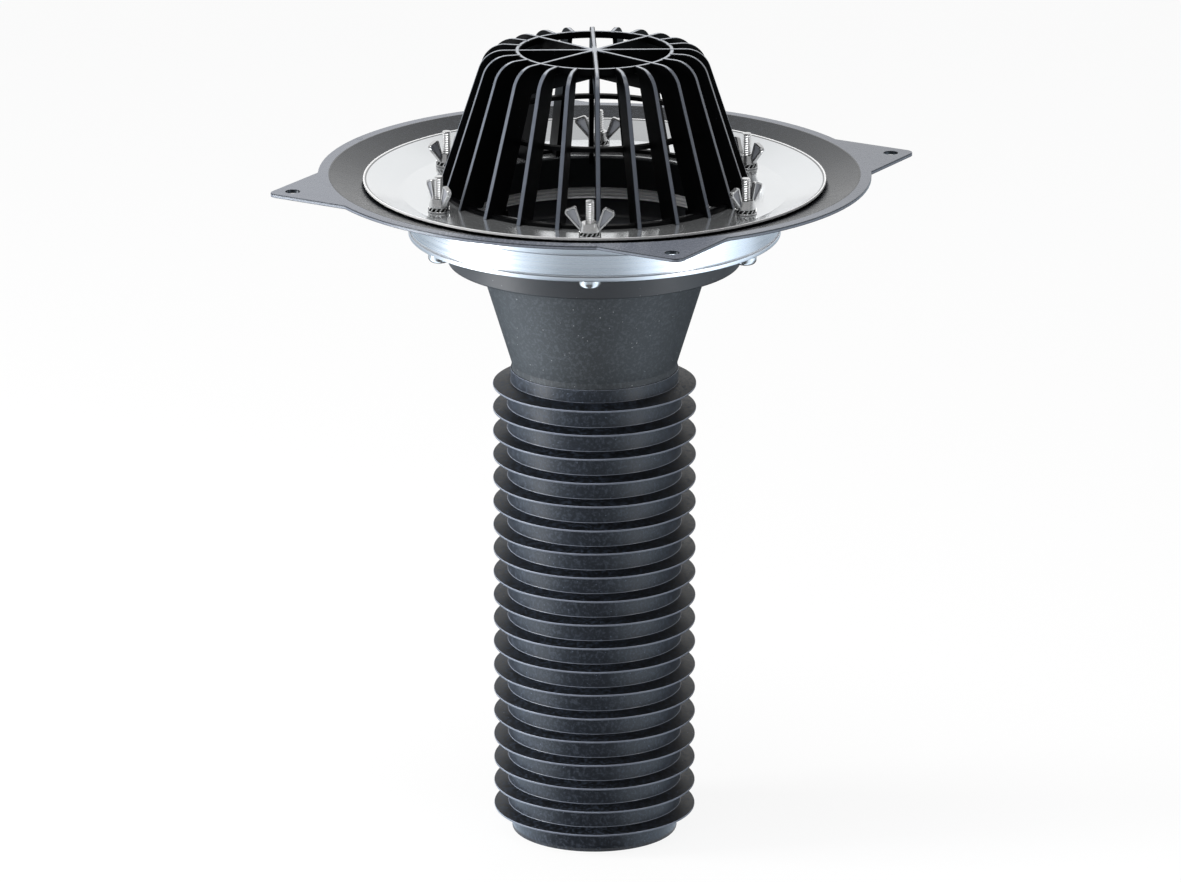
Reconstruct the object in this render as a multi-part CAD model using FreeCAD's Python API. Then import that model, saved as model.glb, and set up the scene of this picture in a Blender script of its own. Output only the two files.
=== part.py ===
import FreeCAD, Part
import math
import os

# Flat roof drain that stands on the lower end of its hose.
# Sizes are in millimetres, +Z is up, and the origin is the centre of the hose's lower face.
# Every radius is measured from the drain's axis unless a name says otherwise.

# Finned hose
hose_bore_radius = 42.8
hose_stub_wall = 2.9
hose_core_wall = 4.8
hose_cuff_wall = 3.1
hose_stub_length = 13.0
hose_cuff_length = 9.4
hose_end_chamfer = 0.6
fin_count = 19
fin_pitch = 13.5
fin_reach = 8.0
fin_edge = 1.1
fin_top_fall = 1.6
fin_under_rise = 0.3

# Funnel between the ring and the hose
spigot_clearance = 0.2
spigot_length = 35.0
spigot_wall = 3.0
neck_step = 0.6
neck_height = 3.4
cone_height = 57.2
cone_wall = 3.2
cone_mouth_round = 4.0
head_radius = 79.9
head_wall = 3.0
head_floor = 3.0
head_ledge = 14.0
head_skirt = 16.0
head_edge_round = 0.6
head_corner_round = 2.0

# Clamping ring under the collar
ring_height = 19.5
ring_edge_margin = 0.2
ring_band_height = 2.2
ring_top_band_height = 4.6
ring_wall_recess = 0.6
ring_groove_width = 0.8
ring_groove_depth = 1.4
seat_depth = 4.0
seat_clearance = 0.2
lip_width = 2.5
lip_drop = 1.8
bore_groove_pitch = 2.0
bore_groove_depth = 0.5

# Rubber collar
collar_thickness = 2.5
collar_rim_width = 6.5
collar_rim_thickness = 2.1
skirt_clearance = 0.2
skirt_wall = 2.4
skirt_length = 14.2
ear_count = 4
ear_reach = 29.0
ear_corner_round = 5.0
ear_turn = 15.5
ear_hole_inset = 12.0
ear_hole_radius = 3.9

# Dished clamping plate, with the bare strip of collar between its edge and the rim
plate_thickness = 1.5
plate_hole_step = 0.4
plate_flat_margin = 3.8
plate_dish_width = 20.5
plate_rim_gap = 18.0
plate_edge_lift = 1.45
dish_angle = 16.3

# Screws, washers and wing nuts
bolt_count = 6
bolt_seat_gap = 8.9
bolt_radius = 2.5
bolt_clearance = 0.25
bolt_projection = 19.6
bolt_end_chamfer = 0.6
bolt_head_overhang = 3.5
bolt_head_height = 4.6
bolt_head_round = 2.8
recess_width = 1.2
recess_length = 5.2
recess_depth = 2.0
washer_clearance = 0.15
washer_width = 3.35
washer_thickness = 1.0
lock_ring_width = 1.65
lock_ring_thickness = 0.9
lock_tooth_count = 14
lock_tooth_reach = 1.5
lock_tooth_width = 2.2
lock_tooth_thickness = 0.6
lock_tooth_twist = 50.0
lock_tooth_flat = 0.08
nut_clearance = 0.05
nut_wall = 2.0
nut_boss_taper = 1.0
nut_boss_height = 4.7
wing_thickness = 2.2
wing_span = 26.6
wing_height = 13.5
wing_tip_low = 9.0
wing_tip_high = 11.2
wing_tip_round = 1.5
wing_crest_inset = 5.7
wing_crest_round = 1.4
wing_root_height = 0.4
wing_neck_drop = 0.3
wing_border = 0.95
wing_pocket_depth = 0.45
nut_turns = [-8.0, 54.0, -50.0, -10.0, 48.0, -62.0]

# Dome strainer
dome_height = 78.2
dome_nut_clearance = 0.35
dome_side_lean = 26.0
dome_shoulder_round = 14.0
dome_turn = 2.9
rib_count = 24
ribs_per_spoke = 3
rib_thickness = 2.6
rib_depth = 14.5
web_depth = 15.5
web_corner_round = 1.5
top_ring_radius = 43.0
top_ring_width = 2.4
top_ring_height = 4.0
hoop_level = 37.4
hoop_step = 3.2
hoop_width = 4.2
hoop_thickness = 2.4
base_ring_width = 3.6
base_ring_height = 2.0
base_ring_inset = 3.0
tab_depth = 4.0
tab_width = 2.9
tab_clearance = 0.5

# Radii of the hose and of what fits in it or on it
hose_stub_radius = hose_bore_radius + hose_stub_wall
hose_core_radius = hose_bore_radius + hose_core_wall
hose_cuff_radius = hose_bore_radius + hose_cuff_wall
fin_radius = hose_core_radius + fin_reach
spigot_radius = hose_bore_radius - spigot_clearance
spigot_bore = spigot_radius - spigot_wall
neck_radius = hose_cuff_radius - neck_step

# Radii of a screw and of what sits on it, measured from its own axis
bolt_hole_radius = bolt_radius + bolt_clearance
bolt_head_radius = bolt_radius + bolt_head_overhang
washer_bore = bolt_radius + washer_clearance
washer_radius = washer_bore + washer_width
lock_ring_radius = washer_bore + lock_ring_width
lock_tooth_radius = lock_ring_radius + lock_tooth_reach
nut_top_radius = bolt_radius + nut_wall
nut_base_radius = nut_top_radius + nut_boss_taper

# Radii that follow from the funnel's head, outwards through the ring, the collar and the plate
head_bore = head_radius - head_wall
cone_top_radius = head_bore - head_ledge
seat_outer = head_radius + seat_clearance
seat_inner = head_bore - seat_clearance
ring_bore_radius = seat_inner - lip_width
bolt_circle_radius = seat_outer + bolt_seat_gap + bolt_head_radius
ring_radius = bolt_circle_radius + bolt_head_radius + ring_edge_margin
skirt_radius = ring_bore_radius - skirt_clearance
skirt_bore = skirt_radius - skirt_wall
plate_hole_radius = skirt_bore + plate_hole_step
dish_radius = ring_radius + plate_flat_margin
plate_radius = dish_radius + plate_dish_width
rim_inner_radius = plate_radius + plate_rim_gap
collar_rim_radius = rim_inner_radius + collar_rim_width
ear_tip_radius = collar_rim_radius + ear_reach
ear_hole_circle_radius = ear_tip_radius - ear_hole_inset

# Levels, from the hose's lower end upwards
dish_slope = math.tan(math.radians(dish_angle))
lowest_fin_z = hose_stub_length
highest_fin_z = lowest_fin_z + (fin_count - 1) * fin_pitch
hose_top = highest_fin_z + hose_cuff_length
cone_bottom = hose_top + neck_height
head_bottom = cone_bottom + cone_height
ring_bottom = head_bottom + head_skirt
ring_top = ring_bottom + ring_height
plate_bottom = ring_top + collar_thickness
plate_top = plate_bottom + plate_thickness
rim_top = plate_bottom + dish_slope * (rim_inner_radius - dish_radius)
dome_top = plate_top + dome_height
washer_top = plate_top + washer_thickness
twist = math.radians(lock_tooth_twist)
tooth_height = lock_tooth_width * math.sin(twist) + lock_tooth_thickness * math.cos(twist)
lock_height = tooth_height - 2 * lock_tooth_flat
nut_bottom = washer_top + lock_height

# Radii of the dome, whose leaning side clears the circle that the nuts' wing tips sweep
dome_side_slope = dome_side_lean / dome_height
wing_tip_level = nut_bottom + wing_tip_low - plate_top
dome_side_at_wings = bolt_circle_radius - wing_span / 2 - dome_nut_clearance
dome_base_radius = dome_side_at_wings + dome_side_slope * wing_tip_level
dome_shoulder_radius = dome_base_radius - dome_side_lean
dome_inner_foot = dome_base_radius - rib_depth

# Length that a cutting tool reaches past the piece it cuts
past = 5.0

axis_z = FreeCAD.Vector(0, 0, 1)
origin = FreeCAD.Vector(0, 0, 0)


def corner_arc(before, corner, after, radius):
    """Start, middle and end of the arc that rounds a corner of an outline."""
    to_before = (before - corner).normalize()
    to_after = (after - corner).normalize()
    half = to_before.getAngle(to_after) / 2
    reach = radius / math.tan(half)
    bisector = (to_before + to_after).normalize()
    centre = corner + bisector * (radius / math.sin(half))
    return corner + to_before * reach, centre - bisector * radius, corner + to_after * reach


def outline(points):
    """Closed flat wire in the XZ plane through (x, z) or (x, z, corner radius) points."""
    corners = [FreeCAD.Vector(p[0], 0, p[1]) for p in points]
    rounds = [p[2] if len(p) > 2 else 0 for p in points]
    edges = []
    ends = []
    for i, corner in enumerate(corners):
        after = corners[(i + 1) % len(corners)]
        if rounds[i]:
            start, middle, end = corner_arc(corners[i - 1], corner, after, rounds[i])
            edges.append(Part.Arc(start, middle, end).toShape())
            ends.append((start, end))
        else:
            ends.append((corner, corner))
    for i, (start, end) in enumerate(ends):
        following = ends[(i + 1) % len(ends)][0]
        edges.append(Part.LineSegment(end, following).toShape())
    return Part.Wire(Part.__sortEdges__(edges))


def turned(points):
    """Solid made by turning an (r, z) outline about the Z axis."""
    return Part.Face(outline(points)).revolve(origin, axis_z, 360)


def slab(points, thickness):
    """Solid made by giving an (x, z) outline a thickness, centred on the XZ plane."""
    face = Part.Face(outline(points))
    face.translate(FreeCAD.Vector(0, -thickness / 2, 0))
    return face.extrude(FreeCAD.Vector(0, thickness, 0))


def around(shape, angle):
    """A copy of a shape, turned about the Z axis."""
    copy = shape.copy()
    copy.rotate(origin, axis_z, angle)
    return copy


def upright(radius, bottom, top, x=0.0, y=0.0):
    """Upright cylinder between two levels."""
    return Part.makeCylinder(radius, top - bottom, FreeCAD.Vector(x, y, bottom), axis_z)


def joined(shapes):
    """One solid from pieces that overlap."""
    return shapes[0].multiFuse(shapes[1:]).removeSplitter()


def bolt_angle(number):
    """Direction of a bolt from the axis, the first one towards -Y."""
    return -90 + number * 360 / bolt_count


def bolt_holes(bottom, top):
    """Upright tools that cut the bolt holes between two levels."""
    tools = []
    for number in range(bolt_count):
        hole = upright(bolt_hole_radius, bottom - past, top + past, bolt_circle_radius)
        tools.append(around(hole, bolt_angle(number)))
    return tools


def at_bolt(shape, number, turn=0.0):
    """A copy of a shape modelled on the Z axis, turned about its own axis and moved to a bolt."""
    copy = around(shape, turn)
    centre = FreeCAD.Rotation(axis_z, bolt_angle(number)).multVec(FreeCAD.Vector(bolt_circle_radius, 0, 0))
    copy.translate(centre)
    return copy


def make_finned_hose():
    """Moulded hose with a plain stub, annular fins on a thicker core, and a plain cuff."""
    profile = [
        (hose_bore_radius, 0),
        (hose_stub_radius - hose_end_chamfer, 0),
        (hose_stub_radius, hose_end_chamfer),
        (hose_stub_radius, lowest_fin_z - fin_edge / 2 - fin_under_rise),
    ]
    for number in range(fin_count):
        z = lowest_fin_z + number * fin_pitch
        profile += [
            (hose_core_radius, z - fin_edge / 2 - fin_under_rise),
            (fin_radius, z - fin_edge / 2),
            (fin_radius, z + fin_edge / 2),
            (hose_core_radius, z + fin_edge / 2 + fin_top_fall),
        ]
    profile += [
        (hose_cuff_radius, highest_fin_z + fin_edge / 2 + fin_top_fall),
        (hose_cuff_radius, hose_top),
        (hose_bore_radius, hose_top),
    ]
    return turned(profile)


def make_funnel():
    """Moulded funnel: spigot inside the hose, neck on the hose's cuff, cone, and cylindrical head."""
    head_top = ring_bottom + seat_depth
    return turned(
        [
            (spigot_bore, hose_top - spigot_length),
            (spigot_radius, hose_top - spigot_length),
            (spigot_radius, hose_top),
            (neck_radius, hose_top),
            (neck_radius, cone_bottom),
            (cone_top_radius, head_bottom),
            (head_radius, head_bottom, head_edge_round),
            (head_radius, head_top),
            (head_bore, head_top),
            (head_bore, head_bottom + head_floor, head_corner_round),
            (cone_top_radius, head_bottom + head_floor, cone_mouth_round),
            (cone_top_radius - cone_wall, head_bottom),
            (spigot_bore, cone_bottom),
        ]
    )


def make_clamping_ring():
    """Turned aluminium ring with a seat for the funnel's head in its lower face."""
    wall_radius = ring_radius - ring_wall_recess
    groove_radius = ring_radius - ring_groove_depth
    lower_band_top = ring_bottom + ring_band_height
    upper_band_bottom = ring_top - ring_top_band_height
    ring = turned(
        [
            (ring_bore_radius, ring_bottom - lip_drop),
            (seat_inner, ring_bottom - lip_drop),
            (seat_inner, ring_bottom + seat_depth),
            (seat_outer, ring_bottom + seat_depth),
            (seat_outer, ring_bottom),
            (ring_radius, ring_bottom),
            (ring_radius, lower_band_top),
            (groove_radius, lower_band_top),
            (groove_radius, lower_band_top + ring_groove_width),
            (wall_radius, lower_band_top + ring_groove_width),
            (wall_radius, upper_band_bottom - ring_groove_width),
            (groove_radius, upper_band_bottom - ring_groove_width),
            (groove_radius, upper_band_bottom),
            (ring_radius, upper_band_bottom),
            (ring_radius, ring_top),
            (ring_bore_radius, ring_top),
        ]
    )
    bare_top = ring_top - skirt_length
    groove_z = bare_top - bore_groove_pitch
    tools = bolt_holes(ring_bottom, ring_top)
    while groove_z > ring_bottom - lip_drop + bore_groove_pitch / 2:
        half = bore_groove_pitch / 4
        tools.append(
            turned(
                [
                    (ring_bore_radius - past, groove_z - half),
                    (ring_bore_radius, groove_z - half),
                    (ring_bore_radius + bore_groove_depth, groove_z),
                    (ring_bore_radius, groove_z + half),
                    (ring_bore_radius - past, groove_z + half),
                ]
            )
        )
        groove_z -= bore_groove_pitch
    return ring.cut(tools)


def make_collar():
    """Moulded collar: skirt in the ring's bore, dished flange, flat rim, and four pointed ears."""
    rim_bottom = rim_top - collar_rim_thickness
    bowl = turned(
        [
            (skirt_bore, ring_top - skirt_length),
            (skirt_radius, ring_top - skirt_length),
            (skirt_radius, ring_top),
            (dish_radius, ring_top),
            (rim_inner_radius, rim_bottom),
            (collar_rim_radius, rim_bottom),
            (collar_rim_radius, rim_top),
            (rim_inner_radius, rim_top),
            (dish_radius, plate_bottom),
            (skirt_bore, plate_bottom),
        ]
    )
    corner_gap = ear_corner_round * (1 / math.cos(math.pi / ear_count) - 1)
    corner_radius = ear_tip_radius + corner_gap
    corners = []
    for number in range(ear_count):
        angle = math.radians(ear_turn + number * 360 / ear_count)
        corners.append((corner_radius * math.cos(angle), -corner_radius * math.sin(angle), ear_corner_round))
    sheet = outline(corners)
    sheet.rotate(origin, FreeCAD.Vector(1, 0, 0), 90)
    sheet.translate(FreeCAD.Vector(0, 0, rim_bottom))
    ears = Part.Face(sheet).extrude(FreeCAD.Vector(0, 0, collar_rim_thickness))
    ears = ears.cut(upright((rim_inner_radius + collar_rim_radius) / 2, rim_bottom - past, rim_top + past))
    collar = joined([bowl] + ears.Solids)
    holes = []
    for number in range(ear_count):
        hole = upright(ear_hole_radius, rim_bottom - past, rim_top + past, ear_hole_circle_radius)
        holes.append(around(hole, ear_turn + number * 360 / ear_count))
    return collar.cut(holes + bolt_holes(ring_top, plate_bottom))


def make_clamping_plate():
    """Pressed plate, flat where the nuts and the dome sit; its dished edge stands clear of the collar."""
    rise = dish_slope * (plate_radius - dish_radius) + plate_edge_lift
    plate = turned(
        [
            (plate_hole_radius, plate_bottom),
            (dish_radius, plate_bottom),
            (plate_radius, plate_bottom + rise),
            (plate_radius, plate_top + rise),
            (dish_radius, plate_top),
            (plate_hole_radius, plate_top),
        ]
    )
    return plate.cut(bolt_holes(plate_bottom, plate_top))


def make_bolt():
    """Pan head screw, head down, on the Z axis."""
    head_bottom_z = ring_bottom - bolt_head_height
    bolt_top = plate_top + bolt_projection
    body = turned(
        [
            (0, head_bottom_z),
            (bolt_head_radius, head_bottom_z, bolt_head_round),
            (bolt_head_radius, ring_bottom),
            (bolt_radius, ring_bottom),
            (bolt_radius, bolt_top - bolt_end_chamfer),
            (bolt_radius - bolt_end_chamfer, bolt_top),
            (0, bolt_top),
        ]
    )
    slot = Part.makeBox(recess_length, recess_width, recess_depth + past)
    slot.translate(FreeCAD.Vector(-recess_length / 2, -recess_width / 2, head_bottom_z - past))
    return body.cut([slot, around(slot, 90)])


def make_washer():
    """Plain round washer on the Z axis."""
    return turned(
        [
            (washer_bore, plate_top),
            (washer_radius, plate_top),
            (washer_radius, washer_top),
            (washer_bore, washer_top),
        ]
    )


def make_lock_washer():
    """External tooth lock washer on the Z axis, each tooth twisted about its own radius."""
    middle = washer_top + lock_height / 2
    ring = upright(lock_ring_radius, middle - lock_ring_thickness / 2, middle + lock_ring_thickness / 2)
    root = (washer_bore + lock_ring_radius) / 2
    tooth = Part.makeBox(lock_tooth_radius - root, lock_tooth_width, lock_tooth_thickness)
    tooth.translate(FreeCAD.Vector(root, -lock_tooth_width / 2, -lock_tooth_thickness / 2))
    tooth.rotate(origin, FreeCAD.Vector(1, 0, 0), lock_tooth_twist)
    tooth.translate(FreeCAD.Vector(0, 0, middle))
    teeth = [around(tooth, number * 360 / lock_tooth_count) for number in range(lock_tooth_count)]
    height_limit = upright(lock_tooth_radius + past, washer_top, washer_top + lock_height)
    body = joined([ring] + teeth).common(height_limit)
    return body.cut(upright(washer_bore, washer_top - past, nut_bottom + past)).Solids[0]


def make_wing_nut():
    """Wing nut on the Z axis, with a raised border round each wing."""
    boss = turned(
        [
            (0, nut_bottom),
            (nut_base_radius, nut_bottom),
            (nut_top_radius, nut_bottom + nut_boss_height),
            (0, nut_bottom + nut_boss_height),
        ]
    )
    tip = wing_span / 2
    top = nut_bottom + wing_height
    foot = nut_bottom + wing_root_height
    neck = nut_bottom + nut_boss_height - wing_neck_drop
    root_radius = (bolt_radius + nut_top_radius) / 2
    wing_points = [
        (root_radius, foot),
        (nut_base_radius, foot),
        (tip, nut_bottom + wing_tip_low, wing_tip_round),
        (tip, nut_bottom + wing_tip_high, wing_tip_round),
        (tip - wing_crest_inset, top, wing_crest_round),
        (nut_top_radius, neck),
        (root_radius, neck),
    ]
    wing = slab(wing_points, wing_thickness)
    field = Part.Face(outline(wing_points)).makeOffset2D(-wing_border)
    outer = upright(tip, nut_bottom, top).cut(upright(nut_base_radius, nut_bottom - past, top + past))
    pockets = []
    for side in (-1, 1):
        pocket = field.copy()
        pocket.translate(FreeCAD.Vector(0, side * (wing_thickness / 2 - wing_pocket_depth), 0))
        pockets.append(pocket.extrude(FreeCAD.Vector(0, side * past, 0)).common(outer))
    wing = wing.cut(pockets)
    nut = joined([boss, wing, around(wing, 180)])
    return nut.cut(upright(bolt_radius + nut_clearance, nut_bottom - past, top + past))


def blade_outline(inner_radius, depth):
    """Outline of an upright blade whose top bar has a depth and runs in to a radius."""
    underside = dome_top - depth
    corner_radius = dome_inner_foot - dome_side_slope * (underside - plate_top)
    return [
        (inner_radius, dome_top),
        (dome_shoulder_radius, dome_top, dome_shoulder_round),
        (dome_base_radius, plate_top),
        (dome_inner_foot, plate_top),
        (corner_radius, underside, web_corner_round),
        (inner_radius, underside),
    ]


def make_dome_strainer():
    """Moulded dome of upright blades; every third blade runs on to the centre as a spoke."""
    hoop_bottom = plate_top + hoop_level - hoop_thickness / 2
    hoop_inner = dome_inner_foot - dome_side_slope * hoop_level - hoop_step
    top_ring_inner = top_ring_radius - top_ring_width
    spoke = slab(blade_outline(0, web_depth), rib_thickness)
    rib_end = top_ring_inner + top_ring_width / 2
    rib = slab(blade_outline(rib_end, top_ring_height), rib_thickness)
    tab_outer = skirt_bore - tab_clearance
    tab_inner = tab_outer - tab_width
    tab_head = max(tab_outer, dome_inner_foot) + tab_width
    tab = slab(
        [
            (tab_inner, plate_top - tab_depth),
            (tab_outer, plate_top - tab_depth),
            (tab_outer, plate_top),
            (tab_head, plate_top),
            (tab_head, plate_top + base_ring_height),
            (tab_inner, plate_top + base_ring_height),
        ],
        rib_thickness,
    )
    pieces = []
    for number in range(rib_count):
        angle = -90 + dome_turn + number * 360 / rib_count
        if number % ribs_per_spoke == 0:
            pieces += [around(spoke, angle), around(tab, angle)]
        else:
            pieces.append(around(rib, angle))
    base_outer = dome_base_radius - base_ring_inset
    for inner, outer, bottom, top in (
        (top_ring_inner, top_ring_radius, dome_top - top_ring_height, dome_top),
        (hoop_inner, hoop_inner + hoop_width, hoop_bottom, hoop_bottom + hoop_thickness),
        (base_outer - base_ring_width, base_outer, plate_top, plate_top + base_ring_height),
    ):
        pieces.append(turned([(inner, bottom), (outer, bottom), (outer, top), (inner, top)]))
    return joined(pieces)


def write(name, shape):
    """Checks one piece and writes it as a STEP file."""
    solids = shape.Solids
    if len(solids) != 1 or not shape.isValid():
        raise RuntimeError(name + " is not one valid solid")
    solids[0].exportStep("parts/" + name + ".step")
    box = shape.BoundBox
    print(name, round(shape.Volume), round(box.ZMin, 2), round(box.ZMax, 2), len(shape.Faces))


os.makedirs("parts", exist_ok=True)
write("dome_strainer", make_dome_strainer())
write("clamping_plate", make_clamping_plate())
write("collar", make_collar())
write("clamping_ring", make_clamping_ring())
write("funnel", make_funnel())
write("finned_hose", make_finned_hose())
bolt = make_bolt()
washer = make_washer()
lock_washer = make_lock_washer()
wing_nut = make_wing_nut()
for number in range(bolt_count):
    label = "_" + str(number + 1)
    write("bolt" + label, at_bolt(bolt, number, bolt_angle(number)))
    write("washer" + label, at_bolt(washer, number))
    write("lock_washer" + label, at_bolt(lock_washer, number))
    write("wing_nut" + label, at_bolt(wing_nut, number, nut_turns[number % len(nut_turns)]))
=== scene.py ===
import math

import bmesh
import bpy
from mathutils import Matrix, Vector, noise


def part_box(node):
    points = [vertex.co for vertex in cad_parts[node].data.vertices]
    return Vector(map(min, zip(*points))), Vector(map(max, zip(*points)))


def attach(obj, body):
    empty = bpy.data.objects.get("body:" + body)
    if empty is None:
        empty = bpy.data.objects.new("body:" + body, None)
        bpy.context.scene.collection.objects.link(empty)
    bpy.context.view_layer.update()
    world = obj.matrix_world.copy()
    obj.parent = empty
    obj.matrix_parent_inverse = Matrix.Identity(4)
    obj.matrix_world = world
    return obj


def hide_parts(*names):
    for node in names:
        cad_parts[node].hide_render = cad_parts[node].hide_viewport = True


bl_info = {
    "name": "Roof drain finish",
    "version": (1, 0, 0),
    "blender": (4, 5, 0),
    "location": "3D View > Sidebar > Roof Drain",
    "description": "Dresses a flat roof drain, from its dome down to its hose",
    "category": "Object",
}

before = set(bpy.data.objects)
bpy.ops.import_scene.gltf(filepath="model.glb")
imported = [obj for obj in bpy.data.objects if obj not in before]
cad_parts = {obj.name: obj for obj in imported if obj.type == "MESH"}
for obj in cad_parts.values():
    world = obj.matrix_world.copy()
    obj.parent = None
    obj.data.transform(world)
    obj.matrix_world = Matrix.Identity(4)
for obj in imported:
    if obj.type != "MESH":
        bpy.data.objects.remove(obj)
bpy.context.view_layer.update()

MM = 0.001
EARS = 4
ROOT = "root"
WHITE = (1.0, 1.0, 1.0)
EVEN = (1.0, 1.0, 1.0)
# A difference in height that keeps two level faces from lying in one another.
HAIR = 0.01 * MM
# The plate and the collar keep every bend that is sharper than this.
CRISP_BEND = math.radians(7)
# An edge that is sharper than this is not smoothed, or is rounded.
SHARP_EDGE = math.radians(32)
# Points that are closer than this, in metres, are the same.
SAME_SPOT = 1e-7
# How fast the fins' stray changes round the hose and from one fin to the next.
WAVE_ROUND, WAVE_STEP = 1.3, 3.7
# Divisions round the dome's rings and round a screw's head.
DOME_SEGMENTS = 160
SCREW_SEGMENTS = 64
# How far each wing nut is turned about its screw, in degrees.
NUT_TURNS = (-8.0, 54.0, -50.0, -10.0, 48.0, -62.0)
BOLTS = len(NUT_TURNS)
# Soft lamps: name, place, width, height, watts, and whether reflections see them.
LAMPS = (
    ("soft_left", (-1.35, -0.15, 0.72), 0.5, 0.6, 24.0, False),
    ("strip_left", (-1.25, -0.40, 0.21), 0.5, 0.38, 10.0, True),
    ("soft_right", (1.5, -1.0, 0.25), 0.35, 0.48, 6.0, True),
    ("soft_top", (-0.1, -0.3, 2.4), 1.4, 1.2, 28.0, True),
)
LAMP_AIM = (0.0, 0.0, 0.3)
# The card on the floor: its radius, its height, and the radius inside which it counts as near.
CARD_RADIUS = 3.0
CARD_HEIGHT = 2 * MM
CARD_NEAR = 1.1
# Bright fields of the card: direction and spread in degrees, strength near and far.
CARD_LOBES = (
    (58.0, 42.0, 1.5, 0.7),
    (-78.0, 50.0, 2.1, 0.0),
    (-47.0, 30.0, 0.0, 0.5),
    (88.0, 35.0, 0.3, 0.9),
)


def length(name, description, millimetres):
    """A size property, in metres."""
    default = millimetres * MM
    return bpy.props.FloatProperty(
        name=name, description=description, default=default, precision=5, unit="LENGTH"
    )


def angle(name, description, degrees):
    """An angle property, in radians."""
    default = math.radians(degrees)
    return bpy.props.FloatProperty(
        name=name, description=description, default=default, unit="ROTATION"
    )


def share(name, description, default):
    """A plain number from 0 to 1."""
    return bpy.props.FloatProperty(
        name=name, description=description, default=default, min=0.0, max=1.0
    )


def count(name, description, default):
    """A whole number of repeats or divisions."""
    return bpy.props.IntProperty(name=name, description=description, default=default, min=1)


def colour(name, description, default):
    """A linear colour property."""
    return bpy.props.FloatVectorProperty(
        name=name, description=description, default=default, subtype="COLOR", min=0.0, max=1.0
    )


class DomeSettings(bpy.types.PropertyGroup):
    """Sizes and colour of the moulded dome."""

    base_radius: length("Base radius", "Outer radius of the blades' feet", 85.31)
    lean: length("Lean", "How far a blade leans in over its height", 26.0)
    shoulder_round: length("Shoulder round", "Radius of the bend from the side to the top", 14.0)
    turn: angle("Turn", "Angle of the first blade from the front bolt", 2.9)
    blades: count("Blades", "Upright blades round the dome", 24)
    blades_per_spoke: count("Blades per spoke", "One blade in this many runs to the centre", 3)
    thickness: length("Blade thickness", "Thickness of one blade", 2.6)
    depth: length("Blade depth", "Depth of a blade towards the axis", 14.5)
    web_depth: length("Web depth", "Depth of the spokes", 15.5)
    web_round: length("Web round", "Radius inside a blade's bend", 1.5)
    edge_round: length("Edge round", "Radius of the moulded edges", 0.4)
    # A painted highlight stripe runs along each blade's outer face and round the top ring: its
    # half-width, and how much narrower it is on the level top.
    highlight_stripe: length("Ridge", "Half the polished ridge's width", 1.05)
    top_narrowing: length("Top narrowing", "How much narrower it is on the level top", 0.3)
    # Reach of the painted highlight in from the blades' outer edges.
    highlight_depth: length("Polish depth", "Reach of the polish from the edges", 0.4)
    top_ring_radius: length("Top ring radius", "Outer radius of the ring in the top", 43.0)
    top_ring_width: length("Top ring width", "Width of the ring in the top", 2.4)
    top_ring_height: length("Top ring height", "Height of the ring in the top", 4.0)
    hoop_level: length("Hoop level", "Height of the hoop above the plate", 37.4)
    hoop_step: length("Hoop step", "Gap from the blades to the hoop", 3.2)
    hoop_width: length("Hoop width", "Width of the middle hoop", 4.2)
    hoop_thickness: length("Hoop thickness", "Thickness of the middle hoop", 2.4)
    base_ring_width: length("Base ring width", "Width of the foot ring", 3.6)
    base_ring_height: length("Base ring height", "Height of the foot ring", 2.0)
    base_ring_inset: length("Base ring inset", "Gap from the blades to the foot ring", 3.0)
    tab_depth: length("Tab depth", "Reach of the tabs below the plate's top", 4.0)
    tab_inner: length("Tab inner radius", "Inner radius of the locating tabs", 68.2)
    tab_outer: length("Tab outer radius", "Outer radius of the locating tabs", 71.1)
    tint: colour("Colour", "Colour of the black plastic", (0.0012, 0.0013, 0.0016))
    # Painted highlight colours of the blades' outer edges and of the level top.
    edge_highlight_tint: colour("Edge colour", "Colour of the blades' outer edges", (0.098, 0.112, 0.140))
    top_highlight_tint: colour("Top colour", "Colour of the edges on the level top", (0.42, 0.45, 0.50))


class HoseSettings(bpy.types.PropertyGroup):
    """Sizes and colour of the finned hose."""

    bore: length("Bore", "Inner radius", 42.8)
    stub_radius: length("Stub radius", "Outer radius of the plain lower end", 45.7)
    core_radius: length("Core radius", "Outer radius between two fins", 47.6)
    cuff_radius: length("Cuff radius", "Outer radius of the plain upper end", 45.9)
    fin_radius: length("Fin radius", "Outer radius of the fins", 55.6)
    first_fin: length("First fin", "Height of the lowest fin", 13.0)
    fin_pitch: length("Fin pitch", "Distance from one fin to the next", 13.5)
    fins: count("Fins", "Fins along the hose", 19)
    fin_edge: length("Fin edge", "Thickness of a fin at its rim", 1.1)
    fin_top_fall: length("Top fall", "Drop of a fin's top face to its rim", 1.6)
    fin_under_rise: length("Under rise", "Rise of a fin's lower face to its rim", 0.3)
    edge_round: length("Edge round", "Radius of the fins' edges", 0.4)
    wave: length("Wave", "How far the soft fins stray from flat", 0.35)
    segments: count("Segments", "Divisions round the hose", 192)
    tint: colour("Colour", "Colour of the hose's rubber", (0.0145, 0.0185, 0.026))
    # The fins' pale rims are a painted highlight.
    rim_highlight_tint: colour("Rim colour", "Colour of the fins' pale rims", (0.26, 0.29, 0.36))


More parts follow.
